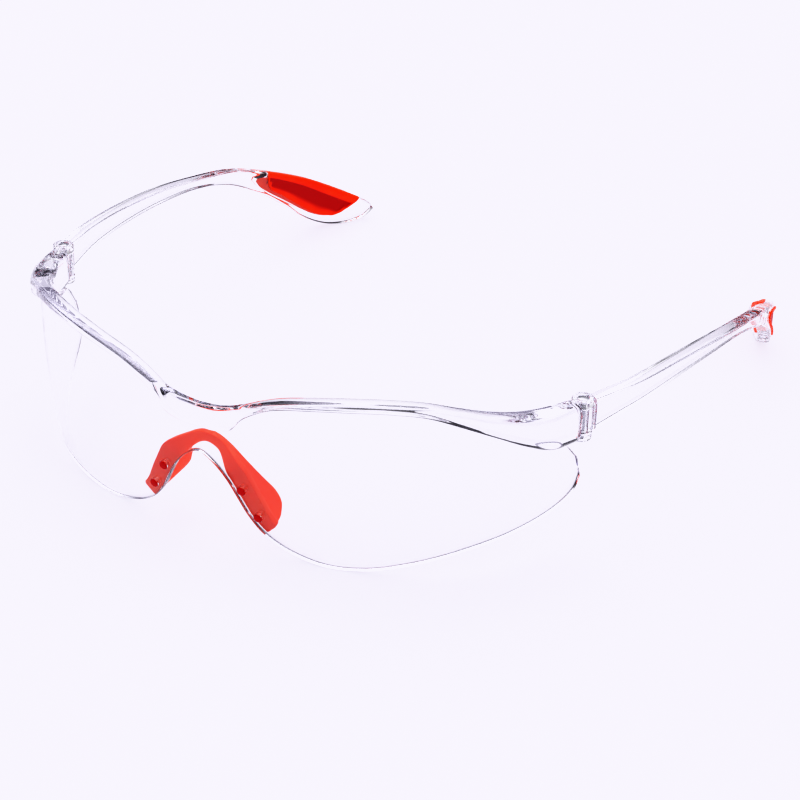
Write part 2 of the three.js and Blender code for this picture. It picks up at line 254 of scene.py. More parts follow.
def catmull(points, shares):
    """Points of a uniform Catmull-Rom curve whose end points are doubled."""
    p = np.asarray(points, float)
    last = len(p) - 1
    place = np.clip(np.asarray(shares, float), 0, 1) * last
    i = np.minimum(np.floor(place).astype(int), last)
    w = (place - i)[:, None]
    p0 = p[np.maximum(i - 1, 0)]
    p1 = p[i]
    p2 = p[np.minimum(i + 1, last)]
    p3 = p[np.minimum(i + 2, last)]
    v0 = (p2 - p0) / 2
    v1 = (p3 - p1) / 2
    return (2 * p1 - 2 * p2 + v0 + v1) * w**3 + (-3 * p1 + 3 * p2 - 2 * v0 - v1) * w**2 + v0 * w + p1


def value_at(rows, column):
    """A smooth function through the values of one column at the places in the first column."""
    x = np.array([row[0] for row in rows], float)
    y = np.array([row[column] for row in rows], float)
    last = len(x) - 1

    def value(at):
        at = np.clip(np.asarray(at, float), x[0], x[-1])
        k = np.clip(np.searchsorted(x, at, side="right"), 1, last)
        t0, t1 = x[k - 1], x[k]
        has_before, has_after = k > 1, k < last
        before, after = np.maximum(k - 2, 0), np.minimum(k + 1, last)
        t_before = np.where(has_before, x[before], t1)
        y_before = np.where(has_before, y[before], y[k])
        t_after = np.where(has_after, x[after], t0)
        y_after = np.where(has_after, y[after], y[k - 1])
        half = (t1 - t0) / 2
        wp = half / (t0 - t_before)
        wn = half / (t_after - t1)
        p = (at - t0) / (t1 - t0)
        p2, p3 = p * p, p**3
        return (
            (-wp * p3 + 2 * wp * p2 - wp * p) * y_before
            + ((1 + wp) * p3 + (-1.5 - 2 * wp) * p2 + (-0.5 + wp) * p + 1) * y[k - 1]
            + ((-1 - wn) * p3 + (1.5 + wn) * p2 + 0.5 * p) * y[k]
            + (wn * p3 - wn * p2) * y_after
        )

    return value


def both_sides(rows, sideways):
    """Stations for both sides of the middle plane, from those of the right side."""
    flipped = [[-v if i in sideways else v for i, v in enumerate(row)] for row in rows[1:]]
    return np.array(flipped[::-1] + [list(row) for row in rows], float)


def squarer(value, box):
    """Rounds a unit circle towards a square; box is 2 for a circle."""
    return np.sign(value) * np.abs(value) ** (2 / box)


def on_shield(x, z, depth):
    """Points that far behind the shield's front face, square to it."""
    a, b, c = WRAP_TERMS
    q = (x / WRAP_X) ** 2
    rise = z - MID_HEIGHT
    y = q * (a + q * (b + q * c)) + rise * (LEAN + rise * BULGE)
    slope_x = 2 * x / WRAP_X**2 * (a + q * (2 * b + q * 3 * c))
    slope_z = LEAN + 2 * BULGE * rise
    inward = np.stack([-slope_x, np.ones_like(slope_x), -slope_z], -1)
    inward /= np.linalg.norm(inward, axis=-1, keepdims=True)
    return np.stack([x, y, z], -1) + inward * np.asarray(depth)[..., None]


# ---------------------------------------------------------------- mesh helpers


def new_object(name, points, faces):
    """A mesh object from points of the design's frame."""
    mesh = bpy.data.meshes.new(name)
    placed = np.asarray(points, float) * MM + np.array(SHIFT)
    mesh.from_pydata(placed.tolist(), [], faces)
    mesh.update()
    made = bpy.data.objects.new(name, mesh)
    bpy.context.scene.collection.objects.link(made)
    outward(made)
    return made


def outward(obj):
    """Turns all faces outwards."""
    shape = bmesh.new()
    shape.from_mesh(obj.data)
    bmesh.ops.recalc_face_normals(shape, faces=shape.faces)
    if shape.calc_volume(signed=True) < 0:
        bmesh.ops.reverse_faces(shape, faces=shape.faces)
    shape.to_mesh(obj.data)
    shape.free()


def tube(name, rings):
    """A closed body through rings of points, with flat ends."""
    rings = np.asarray(rings, float)
    count, around = rings.shape[:2]
    faces = []
    for i in range(count - 1):
        for j in range(around):
            k = (j + 1) % around
            faces.append((i * around + j, i * around + k, (i + 1) * around + k, (i + 1) * around + j))
    faces.append(tuple(range(around)))
    faces.append(tuple(range((count - 1) * around, count * around)))
    return new_object(name, rings.reshape(-1, 3), faces)


def slab(name, front, back):
    """A closed body between two grids of points that have the same outline."""
    rows, columns = front.shape[:2]
    size = rows * columns

    def at(i, j, side):
        return side * size + i * columns + j

    faces = []
    for i in range(rows - 1):
        for j in range(columns - 1):
            for side in (0, 1):
                faces.append(
                    (at(i, j, side), at(i, j + 1, side), at(i + 1, j + 1, side), at(i + 1, j, side))
                )
    for j in range(columns - 1):
        for i in (0, rows - 1):
            faces.append((at(i, j, 0), at(i, j + 1, 0), at(i, j + 1, 1), at(i, j, 1)))
    for i in range(rows - 1):
        for j in (0, columns - 1):
            faces.append((at(i, j, 0), at(i + 1, j, 0), at(i + 1, j, 1), at(i, j, 1)))
    return new_object(name, np.concatenate([front.reshape(-1, 3), back.reshape(-1, 3)]), faces)


def upright(name, profile, x=HINGE_X, y=HINGE_Y, sides=72):
    """A turned body round a vertical axis, from a profile of radius and height."""
    angles = np.arange(sides) * 2 * math.pi / sides
    rings = [
        np.stack([x + r * np.cos(angles), y + r * np.sin(angles), np.full(sides, z)], -1)
        for r, z in profile
    ]
    return tube(name, rings)


def rounded_rod(radius, bottom, top, rounding, steps=5):
    """The profile of a rod with rounded rims."""
    turns = np.linspace(0, math.pi / 2, steps + 1)
    low = [(radius - rounding * (1 - math.sin(t)), bottom + rounding * (1 - math.cos(t))) for t in turns]
    high = [(r, top + bottom - z) for r, z in low[::-1]]
    return low + high


def block(name, x0, x1, y0, y1, z0, z1):
    """A box between two values of each coordinate."""
    corners = np.array([(x, y, z) for x in (x0, x1) for y in (y0, y1) for z in (z0, z1)], float)
    faces = [(0, 1, 3, 2), (4, 6, 7, 5), (0, 4, 5, 1), (2, 3, 7, 6), (0, 2, 6, 4), (1, 5, 7, 3)]
    return new_object(name, corners, faces)


def mirrored(obj, name):
    """The same piece on the other side of the middle plane."""
    copy = obj.copy()
    copy.data = obj.data.copy()
    copy.name = copy.data.name = name
    bpy.context.scene.collection.objects.link(copy)
    copy.data.transform(Matrix.Scale(-1, 4, (1, 0, 0)))
    copy.data.flip_normals()
    return copy


def combine(obj, tool, operation):
    """Joins or cuts obj with tool, which is used up."""
    modifier = obj.modifiers.new(operation, "BOOLEAN")
    modifier.operation = operation
    modifier.solver = "MANIFOLD"
    modifier.object = tool
    graph = bpy.context.evaluated_depsgraph_get()
    result = bpy.data.meshes.new_from_object(obj.evaluated_get(graph))
    obj.modifiers.clear()
    obj.data = result
    bpy.data.objects.remove(tool)
    return obj


def both(make):
    """Makes a piece and its mirror image."""
    right = make()
    return right, mirrored(right, right.name + "_other")


def smooth(obj, crease_degrees=28):
    """Smooth shading with sharp edges where the surface really turns."""
    shape = bmesh.new()
    shape.from_mesh(obj.data)
    bmesh.ops.remove_doubles(shape, verts=shape.verts, dist=1e-7)
    crease = math.radians(crease_degrees)
    for face in shape.faces:
        face.smooth = True
    for edge in shape.edges:
        edge.smooth = len(edge.link_faces) == 2 and edge.calc_face_angle(0) < crease
    shape.to_mesh(obj.data)
    shape.free()
    return obj


def mark(obj, name, points, value_of):
    """Gives each vertex a value by the nearest of some points of the design.

    value_of is a function of the distance to that point, or a list with each point's own value.
    """
    places = KDTree(len(points))
    for i, point in enumerate(points):
        places.insert(Vector(point) * MM + SHIFT, i)
    places.balance()
    values = obj.data.attributes.new(name, "FLOAT", "POINT").data
    for vertex, value in zip(obj.data.vertices, values):
        _, index, gap = places.find(vertex.co)
        value.value = value_of(gap / MM) if callable(value_of) else value_of[index]


def fading(full, fade):
    """A function of a distance: 1 up to `full`, then falling to 0 over `fade`."""
    return lambda gap: 1 - np.clip((gap - full) / fade, 0, 1)


# ---------------------------------------------------------------- shield


def edge_rows(length, inner_count):
    """Places from 0 to length, close together near both ends for the rounded edges."""
    near = EDGE_ROUNDING * np.array([0, 0.06, 0.2, 0.42, 0.7, 1.0])
    inner = np.linspace(0, 1, inner_count + 2)[1:-1]
    span = length - 2 * EDGE_ROUNDING
    return np.concatenate([near, EDGE_ROUNDING + inner * span, length - near[::-1]])


def lens_plate():
    """The shield without its brow, with a rounded edge all round."""
    stations = both_sides(SHIELD_STATIONS, (0, 2))
    shares = np.linspace(0, 1, 14 * (len(stations) - 1) + 1)
    ends = 0.02 * np.array([0.02, 0.05, 0.1, 0.16])
    shares = np.unique(np.concatenate([shares, ends, 1 - ends]))
    lower = catmull(stations[:, :2], shares)
    upper = catmull(stations[:, 2:], shares)
    lengths = np.linalg.norm(upper - lower, axis=1)
    rows = np.stack([edge_rows(length, 48) for length in lengths])
    place = lower[:, None] + (upper - lower)[:, None] * (rows / lengths[:, None])[..., None]
    to_side = np.minimum(
        np.linalg.norm(place - place[:1], axis=-1), np.linalg.norm(place - place[-1:], axis=-1)
    )
    inside = np.minimum(np.minimum(rows, lengths[:, None] - rows), to_side)
    cut = np.clip(EDGE_ROUNDING - inside, 0, None)
    rounding = EDGE_ROUNDING - np.sqrt(EDGE_ROUNDING**2 - cut**2)
    front = on_shield(place[..., 0], place[..., 1], rounding)
    back = on_shield(place[..., 0], place[..., 1], SHIELD_THICKNESS - rounding)
    return slab("lens_shield_clear", front, back)


def brow_bar():
    """The bar along the shield's upper edge, with rounded ends."""
    bottom, top, front, back = (value_at(BROW_STATIONS, i) for i in (1, 2, 3, 4))
    reach = BROW_STATIONS[-1][0]
    turned = 0.5
    body = np.linspace(-reach + turned, reach - turned, 420)
    end = reach - turned * (1 - np.sin(np.linspace(0, math.pi / 2, 7)[1:]))
    x = np.concatenate([-end[::-1], body, end])
    side = np.abs(x)
    past = np.clip((side - (reach - turned)) / turned, 0, 1)
    shrink = 1 - turned * (1 - np.sqrt(1 - past**2)) / 4
    angle = np.arange(72) * 2 * math.pi / 72
    up = squarer(np.sin(angle), BROW_BOX)[None] * shrink[:, None]
    through = squarer(np.cos(angle), BROW_BOX)[None] * shrink[:, None]
    low, high, near, far = (f(side)[:, None] for f in (bottom, top, front, back))
    z = low + (high - low) * (1 + up) / 2
    depth = near + (far - near) * (1 + through) / 2
    wide = np.broadcast_to(x[:, None], z.shape)
    return tube("brow_bar", on_shield(wide, z, depth))


def peg_frame(place):
    """The start and the direction of a peg's axis, on the shield's front face."""
    x, z = nose_course(np.array([place]), np.array([PEG_OFFSET]))
    start = on_shield(x, z, np.zeros(1))[0]
    end = on_shield(x, z, np.ones(1))[0]
    return start, end - start


def peg_rod(name, place, radius, start_depth, end_depth, rounding=0.0, sides=40):
    """A rod on a peg's axis, between two depths behind the shield's front face."""
    start, along = peg_frame(place)
    across = np.cross(along, (0, 0, 1.0))
    across /= np.linalg.norm(across)
    third = np.cross(along, across)
    angles = np.arange(sides) * 2 * math.pi / sides
    ring = np.cos(angles)[:, None] * across + np.sin(angles)[:, None] * third
    turns = np.linspace(0, math.pi / 2, 5) if rounding else (math.pi / 2,)
    profile = [
        (radius - rounding * (1 - math.sin(t)), start_depth + rounding * (1 - math.cos(t)))
        for t in turns
    ]
    profile.append((radius, end_depth))
    return tube(name, [start + along * depth + ring * r for r, depth in profile])


def clear_swing_room(shield, bottom, top):
    """Makes room for the arms to fold inwards, between two heights."""
    for room in both(
        lambda: block("room", SWING_INNER, SWING_OUTER, SWING_FRONT, SWING_BACK, bottom, top)
    ):
        combine(shield, room, "DIFFERENCE")


def lens_shield():
    """The plate, the brow and the hinge lugs, with the bores and the holes for the pegs."""
    shield = combine(lens_plate(), brow_bar(), "UNION")
    clear_swing_room(shield, LUG_BOTTOM - 2, LUG_TOP + 2)
    lug_profile = rounded_rod(LUG_RADIUS, LUG_BOTTOM, LUG_TOP, LUG_ROUNDING)
    for lug in both(lambda: upright("lug", lug_profile)):
        combine(shield, lug, "UNION")
    slot_bottom, slot_top = TONGUE_BOTTOM - GAP, TONGUE_TOP + GAP
    slot = [(EYE_RADIUS + GAP, slot_bottom), (EYE_RADIUS + GAP, slot_top)]
    bore = [(PIN_RADIUS + PIN_CLEARANCE, LUG_BOTTOM - 1), (PIN_RADIUS + PIN_CLEARANCE, LUG_TOP + 1)]
    seat = PIN_HEAD_RADIUS + PIN_CLEARANCE
    recess = [(seat, LUG_TOP - PIN_RECESS - PIN_HEAD_HEIGHT), (seat, LUG_TOP + 1)]
    for profile in (slot, bore, recess):
        for cut in both(lambda: upright("cut", profile)):
            combine(shield, cut, "DIFFERENCE")
    clear_swing_room(shield, slot_bottom, slot_top)
    for place in PEG_PLACES:
        for hole in both(lambda: peg_rod("hole", place, PEG_RADIUS + SNUG, -2, SHIELD_THICKNESS + 2)):
            combine(shield, hole, "DIFFERENCE")
    smooth(shield)
    stations = both_sides(SHIELD_STATIONS, (0, 2))
    outline = catmull(stations[:, :2], np.linspace(0, 1, 2400))
    edge = on_shield(outline[:, 0], outline[:, 1], np.full(len(outline), SHIELD_THICKNESS / 2))
    # Painted shade along the shield's edge: a dark line in the plastic's colour.
    mark(shield, "painted_edge_shade", edge, fading(EDGE_SHADE_FULL, EDGE_SHADE_FADE))
    return shield


# ---------------------------------------------------------------- nose piece


def nose_course(share, offset):
    """A place along the nose cut-out, moved away from the opening."""
    stations = both_sides(NOSE_STATIONS, (0,))[:, :2]
    point = catmull(stations, share)
    step = 1e-4
    after = catmull(stations, np.minimum(share + step, 1))
    before = catmull(stations, np.maximum(share - step, 0))
    along = after - before
    along /= np.linalg.norm(along, axis=1, keepdims=True)
    return point[:, 0] - along[:, 1] * offset, point[:, 1] + along[:, 0] * offset


def rounded_outline(corners, steps=5):
    """A closed outline with rounded corners, from corner x, y and radius."""
    points = []
    count = len(corners)
    for i, (x, y, radius) in enumerate(corners):
        here = np.array([x, y])
        before = np.array(corners[i - 1][:2]) - here
        after = np.array(corners[(i + 1) % count][:2]) - here
        start = here + before / np.linalg.norm(before) * radius
        end = here + after / np.linalg.norm(after) * radius
        for t in np.linspace(0, 1, steps):
            points.append((1 - t) ** 2 * start + 2 * t * (1 - t) * here + t**2 * end)
    return np.array(points)


def strap_at(share):
    """How much of the strap there is: 1 between the wings, 0 on them."""
    t = np.clip((abs(share - 0.5) - STRAP_HALF) / STRAP_BLEND, 0, 1)
    return 1 - t * t * (3 - 2 * t)


def nose_piece():
    """The flange, the wings and the strap as one body, with its pegs."""
    reach = both_sides(NOSE_STATIONS, (0,))[:, 2:]
    flange_width = value_at(FLANGE_WIDTHS, 1)
    turned = 0.02
    body = np.linspace(turned, 1 - turned, 280)
    end = turned * (1 - np.sin(np.linspace(0, math.pi / 2, 8)[1:]))
    shares = np.concatenate([end[::-1], body, 1 - end])
    rings = []
    for share in shares:
        strap = strap_at(share)
        inner = FLANGE_INSET + STRAP_INSET * strap
        wing = inner + WING_THICKNESS
        outer = float(flange_width(abs(share - 0.5)))
        back = catmull(reach, [share])[0, 0]
        front = SHIELD_THICKNESS + SNUG + STRAP_LIFT * strap
        flange = front + FLANGE_DEPTH
        outline = rounded_outline(
            [
                (inner, front, 0.25),
                (outer, front, 0.3),
                (outer, flange, 0.5),
                (wing + 0.1, flange, 0.6),
                (wing - 0.15, back, 0.7),
                (inner + 0.1, back, 0.7),
            ]
        )
        past = max(0.0, 1 - min(share, 1 - share) / turned)
        shrink = math.sqrt(max(1 - past**2, 0)) * (1 - NOSE_END) + NOSE_END
        centre = (inner + outer) / 2
        outline[:, 0] = centre + (outline[:, 0] - centre) * shrink
        outline[:, 1] = front + (outline[:, 1] - front) * shrink
        x, z = nose_course(np.full(len(outline), share), outline[:, 0])
        rings.append(on_shield(x, z, outline[:, 1]))
    piece = tube("nose_piece_soft", rings)
    for place in PEG_PLACES:
        for peg in both(
            lambda: peg_rod("peg", place, PEG_RADIUS, -PEG_PROUD, SHIELD_THICKNESS + 1, PEG_ROUNDING)
        ):
            combine(piece, peg, "UNION")
    smooth(piece, 35)
    # Painted shade: the pegs' ends get a deeper red.
    ends = [peg_frame(share)[0] for place in PEG_PLACES for share in (place, 1 - place)]
    mark(piece, "dish_and_painted_shade", ends, fading(PEG_SHADE_FULL, PEG_SHADE_FADE))
    return piece


# ---------------------------------------------------------------- arms and their pads

arm_middle = value_at(ARM_PLAN, 1)
arm_thickness = value_at(ARM_PLAN, 2)


def on_arm(share, up, out, proud=0.0, proud_out=0.0):
    """Points of the right arm, from -1 to 1 across its height and its thickness."""
    stations = np.array(ARM_STATIONS, float)
    low = catmull(stations[:, :2], share)
    high = catmull(stations[:, 2:], share)
    rise = high - low
    side = low + rise * ((up + 1) / 2)[:, None]
    side += rise / np.linalg.norm(rise, axis=1, keepdims=True) * (proud * up)[:, None]
    slope = arm_middle(side[:, 0] + 0.5) - arm_middle(side[:, 0] - 0.5)
    square = np.stack([np.ones_like(slope), -slope], -1)
    square /= np.linalg.norm(square, axis=1, keepdims=True)
    away = out * arm_thickness(side[:, 0]) / 2 + proud_out * out
    x = arm_middle(side[:, 0]) + square[:, 0] * away
    y = HINGE_Y + side[:, 0] + square[:, 1] * away
    return np.stack([x, y, side[:, 1]], -1)


pad_edge = value_at(PAD_EDGE, 1)
window_low, window_high = value_at(PAD_WINDOW, 1), value_at(PAD_WINDOW, 2)


def pad_dish(share, up, out):
    """How deep the pad's dish is, from 0 at its raised edge to 1 inside; this also sets the painted
    shade there.
    """
    inside = out < 0
    start = np.where(inside, PAD_EDGE[0][0], PAD_WINDOW[0][0])
    end = np.where(inside, PAD_EDGE[-1][0], PAD_WINDOW[-1][0])
    half_height = 2.6
    low = np.where(inside, pad_edge(share), window_low(share))
    high = np.where(inside, PAD_DISH_TOP, window_high(share))
    to_low = (up - low) * half_height
    to_high = (high - up) * half_height
    to_start = (share - start) * ARM_LENGTH
    to_end = (end - share) * ARM_LENGTH
    nearest = np.minimum(np.minimum(to_low, to_high), np.minimum(to_start, to_end))
    t = np.clip((nearest - PAD_RIM_START) / PAD_RIM, 0, 1)
    on_face = np.clip((np.abs(out) - 0.55) / 0.35, 0, 1)
    return t * t * (3 - 2 * t) * on_face * ((share > start) & (share < end))


def arm_rings(shares, shrink_at, pad):
    """Rings of the arm, or of the pad's skin and how deep its dish is at each point, which also sets the
    painted shade.
    """
    angles = np.arange(96) * 2 * math.pi / 96
    up = squarer(np.cos(angles), ARM_BOX)
    out = squarer(np.sin(angles), ARM_BOX)
    rings, dishes_and_painted_shade = [], []
    for share in shares:
        shrink = shrink_at(share)
        at = np.full(len(angles), share)
        dish_and_painted_shade = pad_dish(at, up, out)
        stand_out = PAD_FACE_PROUD - PAD_DISH * dish_and_painted_shade
        rings.append(on_arm(at, up * shrink, out * shrink, pad * PAD_PROUD, pad * stand_out))
        dishes_and_painted_shade.append(dish_and_painted_shade)
    return np.array(rings), np.array(dishes_and_painted_shade)


def arm_body():
    """The right arm with a rounded tip, before its hinge and its pad's room are made."""
    turned = 0.012
    round_end = 1 - turned * (1 - np.sin(np.linspace(0, math.pi / 2, 9)[1:]))
    shares = np.concatenate([np.linspace(0, 1 - turned, 300), round_end])

    def shrink(share):
        past = max(0.0, (share - (1 - turned)) / turned)
        return ARM_END + (1 - ARM_END) * math.sqrt(max(1 - past**2, 0))

    return tube("temple_right_clear", arm_rings(shares, shrink, 0)[0])


def pad_spaces(margin):
    """The pad's room: let into the arm's inner face and into its outer face."""
    along = margin / ARM_LENGTH
    across = margin / ARM_HALF_HEIGHT
    through = margin / ARM_HALF_THICKNESS
    within = PAD_DEPTH - through - PAD_OVERLAP

    def piece(rows, lower, upper, inner, outer):
        rings = []
        for share in np.linspace(rows[0][0] - along, rows[-1][0] + along, 120):
            low, high = float(lower(share)) - across, float(upper(share)) + across
            up = np.array([low, low, high, high])
            rings.append(on_arm(np.full(4, share), up, np.array([outer, inner, inner, outer])))
        return tube("pad_room", rings)

    return (
        piece(PAD_EDGE, pad_edge, lambda share: PAD_ABOVE, -PAD_BEYOND, PAD_DEPTH + through),
        piece(PAD_WINDOW, window_low, window_high, within, PAD_BEYOND),
    )


def arm():
    """The right arm, with its tongue, its eye and the room for its pad."""
    body = arm_body()
    shoulder = [(ARM_SETBACK, LUG_BOTTOM - 2), (ARM_SETBACK, LUG_TOP + 2)]
    combine(body, upright("shoulder", shoulder), "DIFFERENCE")
    root = HINGE_Y + ARM_SETBACK + 0.8
    tongue = block("tongue", TONGUE_INNER, TONGUE_OUTER, HINGE_Y, root, TONGUE_BOTTOM, TONGUE_TOP)
    eye = upright("eye", rounded_rod(EYE_RADIUS, TONGUE_BOTTOM, TONGUE_TOP, EYE_ROUNDING))
    combine(body, tongue, "UNION")
    combine(body, eye, "UNION")
    bore = [(PIN_RADIUS + PIN_CLEARANCE, LUG_BOTTOM), (PIN_RADIUS + PIN_CLEARANCE, LUG_TOP)]
    combine(body, upright("bore", bore), "DIFFERENCE")
    for space in pad_spaces(PAD_ROOM):
        combine(body, space, "DIFFERENCE")
    return smooth(body)


def tip_pad():
    """The right arm's pad: the parts of its skin that lie in its room."""
    rings, dishes_and_painted_shade = arm_rings(np.linspace(*PAD_SPAN, 260), lambda share: 1, 1)
    pad, outer = (
        combine(tube("tip_pad_right_soft", rings), space, "INTERSECT") for space in pad_spaces(0)
    )
    combine(pad, outer, "UNION")
    smooth(pad, 35)
    # Painted shade: the pad's dish gets a deeper red, the more so where it is deeper.
    mark(pad, "dish_and_painted_shade", rings.reshape(-1, 3), dishes_and_painted_shade.ravel())
    return pad


# ---------------------------------------------------------------- hinge pins


def hinge_pin():
    """The right hinge's pin, with a domed head."""
    top = LUG_TOP - PIN_RECESS
    under = top - PIN_HEAD_HEIGHT + 0.1
    foot = LUG_BOTTOM + 0.2
    dome = [
        (PIN_HEAD_RADIUS * math.cos(t), top - PIN_DOME + PIN_DOME * math.sin(t))
        for t in np.linspace(0, 1.45, 9)
    ]
    profile = [
        (PIN_RADIUS - PIN_CHAMFER, foot),
        (PIN_RADIUS, foot + PIN_CHAMFER),
        (PIN_RADIUS, under),
        (PIN_HEAD_RADIUS - 0.1, under),
        (PIN_HEAD_RADIUS, under + 0.1),
        *dome,
    ]
    pin = upright("hinge_pin_right_steel", profile, sides=64)
    return smooth(pin, 40)


# ---------------------------------------------------------------- materials


def material(name):
    """A new material, its nodes and links, and its shader."""
    made = bpy.data.materials.new(name)
    made.use_nodes = True
    nodes = made.node_tree.nodes
    return made, nodes, made.node_tree.links, nodes["Principled BSDF"]


def noise(nodes, links, scale, detail=2.0, stretch=(1, 1, 1)):
    """A noise texture in the object's own space, in metres."""
    place = nodes.new("ShaderNodeTexCoord")
    mapping = nodes.new("ShaderNodeMapping")
    mapping.inputs["Scale"].default_value = stretch
    texture = nodes.new("ShaderNodeTexNoise")
    texture.inputs["Scale"].default_value = scale
    texture.inputs["Detail"].default_value = detail
    links.new(place.outputs["Object"], mapping.inputs["Vector"])
    links.new(mapping.outputs["Vector"], texture.inputs["Vector"])
    return texture


def ramp(nodes, links, source, low, high, start=0.3, end=0.7):
    """Maps a texture's value smoothly to a range of values."""
    made = nodes.new("ShaderNodeMapRange")
    made.interpolation_type = "SMOOTHSTEP"
    made.inputs["From Min"].default_value = start
    made.inputs["From Max"].default_value = end
    made.inputs["To Min"].default_value = low
    made.inputs["To Max"].default_value = high
    links.new(source, made.inputs["Value"])
    return made.outputs["Result"]


def clear_plastic():
    made, nodes, links, shader = material("clear_polycarbonate")
    # Painted shade: a dark grey is painted into the plastic's colour along the lenses' edge, standing in
    # for the dark line that the edge shows.
    painted_edge_shade = nodes.new("ShaderNodeAttribute")
    painted_edge_shade.attribute_name = "painted_edge_shade"
    tint_and_edge_shade = nodes.new("ShaderNodeMix")
    tint_and_edge_shade.data_type = "RGBA"
    tint_and_edge_shade.inputs["A"].default_value = (0.995, 0.993, 1.0, 1)
    tint_and_edge_shade.inputs["B"].default_value = (0.2, 0.19, 0.22, 1)
    links.new(painted_edge_shade.outputs["Fac"], tint_and_edge_shade.inputs["Factor"])
    links.new(tint_and_edge_shade.outputs["Result"], shader.inputs["Base Color"])
    shader.inputs["IOR"].default_value = 1.586
    shader.inputs["Transmission Weight"].default_value = 1.0
    flow = noise(nodes, links, 90, 2.0, (1, 1, 2.5))
    links.new(ramp(nodes, links, flow.outputs["Fac"], 0.0, 0.035), shader.inputs["Roughness"])
    body = nodes.new("ShaderNodeVolumeAbsorption")
    body.inputs["Color"].default_value = (0.62, 0.58, 0.9, 1)
    body.inputs["Density"].default_value = 5.0
    links.new(body.outputs["Volume"], nodes["Material Output"].inputs["Volume"])
    return made


def red_rubber():
    made, nodes, links, shader = material("red_rubber")
    cloud = noise(nodes, links, 160, 3.0)
    mix = nodes.new("ShaderNodeMix")
    mix.data_type = "RGBA"
    mix.inputs["A"].default_value = (1.0, 0.055, 0.0, 1)
    mix.inputs["B"].default_value = (1.0, 0.075, 0.003, 1)
    links.new(ramp(nodes, links, cloud.outputs["Fac"], 0, 1), mix.inputs["Factor"])
    # Painted shade: the ear pads' dishes and the pegs' ends are painted a deeper red, standing in for
    # the shade that falls there.
    dish_and_painted_shade = nodes.new("ShaderNodeAttribute")
    dish_and_painted_shade.attribute_name = "dish_and_painted_shade"
    red_with_painted_shade = nodes.new("ShaderNodeMix")
    red_with_painted_shade.data_type = "RGBA"
    red_with_painted_shade.inputs["B"].default_value = (0.5, 0.0, 0.002, 1)
    links.new(ramp(nodes, links, dish_and_painted_shade.outputs["Fac"], 0, 1, 0.2, 0.9), red_with_painted_shade.inputs["Factor"])
    links.new(mix.outputs["Result"], red_with_painted_shade.inputs["A"])
    links.new(red_with_painted_shade.outputs["Result"], shader.inputs["Base Color"])
    # Painted light: the rubber glows a little in its own colour, painted shade included, so it looks
    # brighter than its lighting makes it.
    links.new(red_with_painted_shade.outputs["Result"], shader.inputs["Emission Color"])
    shader.inputs["Emission Strength"].default_value = 0.2
    shader.inputs["IOR"].default_value = 1.4
    shader.inputs["Specular IOR Level"].default_value = 0.35
    shader.inputs["Subsurface Weight"].default_value = 0.25
    shader.inputs["Subsurface Radius"].default_value = (1.0, 0.18, 0.08)
    shader.inputs["Subsurface Scale"].default_value = 0.0015
    fine = noise(nodes, links, 2600, 2.0)
    links.new(ramp(nodes, links, fine.outputs["Fac"], 0.36, 0.5), shader.inputs["Roughness"])
    bump = nodes.new("ShaderNodeBump")
    bump.inputs["Strength"].default_value = 0.12
    bump.inputs["Distance"].default_value = 0.00005
    links.new(fine.outputs["Fac"], bump.inputs["Height"])
    links.new(bump.outputs["Normal"], shader.inputs["Normal"])
    return made


def pin_steel():
    made, nodes, links, shader = material("pin_steel")
    shader.inputs["Metallic"].default_value = 1.0
    turned = noise(nodes, links, 500, 2.0, (1, 1, 14))
    mix = nodes.new("ShaderNodeMix")
    mix.data_type = "RGBA"
    mix.inputs["A"].default_value = (0.42, 0.42, 0.45, 1)
    mix.inputs["B"].default_value = (0.62, 0.62, 0.65, 1)
    links.new(ramp(nodes, links, turned.outputs["Fac"], 0, 1), mix.inputs["Factor"])
    links.new(mix.outputs["Result"], shader.inputs["Base Color"])
    links.new(ramp(nodes, links, turned.outputs["Fac"], 0.18, 0.34), shader.inputs["Roughness"])
    return made


def floor_paint():
    made, nodes, links, shader = material("studio_floor")
    cloud = noise(nodes, links, 3, 2.0)
    mix = nodes.new("ShaderNodeMix")
    mix.data_type = "RGBA"
    mix.inputs["A"].default_value = (0.196, 0.192, 0.206, 1)
    mix.inputs["B"].default_value = (0.2, 0.196, 0.21, 1)
    links.new(ramp(nodes, links, cloud.outputs["Fac"], 0, 1), mix.inputs["Factor"])
    links.new(mix.outputs["Result"], shader.inputs["Base Color"])
    shader.inputs["Roughness"].default_value = 0.9
    shader.inputs["Specular IOR Level"].default_value = 0.0
    # The table is white and lit from below, so the shadows on it are faint.
    shader.inputs["Emission Color"].default_value = (0.95, 0.93, 1.0, 1)
    shader.inputs["Emission Strength"].default_value = 0.76
    return made


# ---------------------------------------------------------------- assembly


def fit(piece, body, node, finish):
    """Puts a finished piece in the place of its CAD node."""
    piece.data.materials.clear()
    piece.data.materials.append(finish)
    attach(piece, body)
    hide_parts(node)


def glasses():
    """Makes all the pieces and puts each on its body."""
    clear, rubber, steel = clear_plastic(), red_rubber(), pin_steel()
    fit(lens_shield(), "front", "lens_shield", clear)
    fit(nose_piece(), "front", "nose_piece", rubber)
    right_arm, right_pad, right_pin = arm(), tip_pad(), hinge_pin()
    pieces = (
        (right_arm, "temple", "arm", "clear_polycarbonate", clear),
        (right_pad, "tip_pad", "arm", "red_rubber", rubber),
        (right_pin, "hinge_pin", "front", "pin_steel", steel),
    )
    for right, node, body, slot, finish in pieces:
        left = mirrored(right, right.name.replace("right", "left"))
        for piece, side in ((right, "right"), (left, "left")):
            on = body if body == "front" else f"{body}_{side}"
            fit(piece, on, f"{node}_{side}", finish)


# ---------------------------------------------------------------- studio

